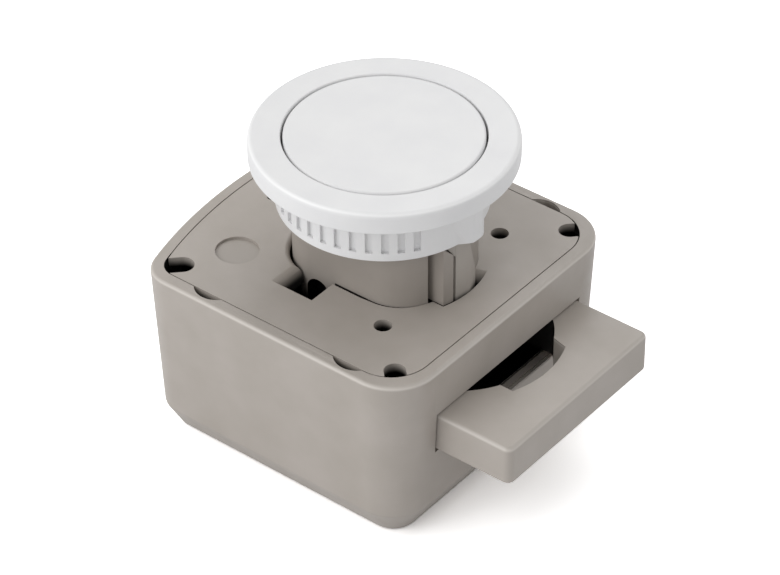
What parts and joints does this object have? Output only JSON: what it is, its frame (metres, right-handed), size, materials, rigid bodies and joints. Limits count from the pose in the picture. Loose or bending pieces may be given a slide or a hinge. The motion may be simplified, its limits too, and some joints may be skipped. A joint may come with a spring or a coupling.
{
  "type": "push button cabinet lock",
  "caption": "Push button lock for a cabinet or caravan door: a boxed case with a flat sliding bolt, and a round rosette whose button pops out to draw the bolt in.",
  "frame": {"origin": "on the button's axis, in the plane of the case's back", "axes": "+Z along the button's axis, from the case's back to the front of the door; +X the way the bolt comes out; +Y across the bolt"},
  "size_m": [0.0525, 0.0416, 0.0415],
  "materials": {
    "taupe_plastic": "satin moulded acetal",
    "tube_plastic": "satin moulded acetal, a shade darker",
    "white_plastic": "satin white moulded plastic",
    "black_plastic": "black acetal",
    "natural_plastic": "natural acetal",
    "steel": "zinc plated steel"
  },
  "bodies": {
    "case": {"rear_housing": "taupe_plastic", "cover_plate": "taupe_plastic", "guide_tube": "tube_plastic", "tube_screws": "steel", "rosette_catch": "taupe_plastic", "rosette_collar": "white_plastic", "rosette_bezel": "white_plastic", "plunger_spring": "steel", "spring_seat": "natural_plastic", "latch_bracket": "natural_plastic", "latch_leaf": "steel"},
    "button": {"push_button": "white_plastic", "button_carrier": "white_plastic", "button_screw": "steel", "plunger": "black_plastic", "cam_pin": "steel", "heart_cam": "natural_plastic", "spring_washer": "steel"},
    "bolt": {"latch_bolt": "taupe_plastic"},
    "latch": {"latch_wire": "steel"}
  },
  "joints": [
    {"name": "button_slide", "type": "slide", "parent": "case", "child": "button", "axis": [0, 0, 1], "range_m": [-0.001, 0.0105], "deforming": ["plunger_spring"]},
    {"name": "bolt_slide", "type": "slide", "parent": "case", "child": "bolt", "axis": [-1, 0, 0], "range_m": [-0.001, 0.0105]},
    {"name": "latch_swing", "type": "hinge", "parent": "case", "child": "latch", "pos_m": [-0.0083, 0, 0.0036], "axis": [1, 0, 0], "range_deg": [-0.9, 8.5]}
  ],
  "couplings": [
    {"joint": "bolt_slide", "follows": "button_slide", "ratio": 1},
    {"joint": "latch_swing", "follows": "button_slide", "rad_per_m": 13.963}
  ]
}
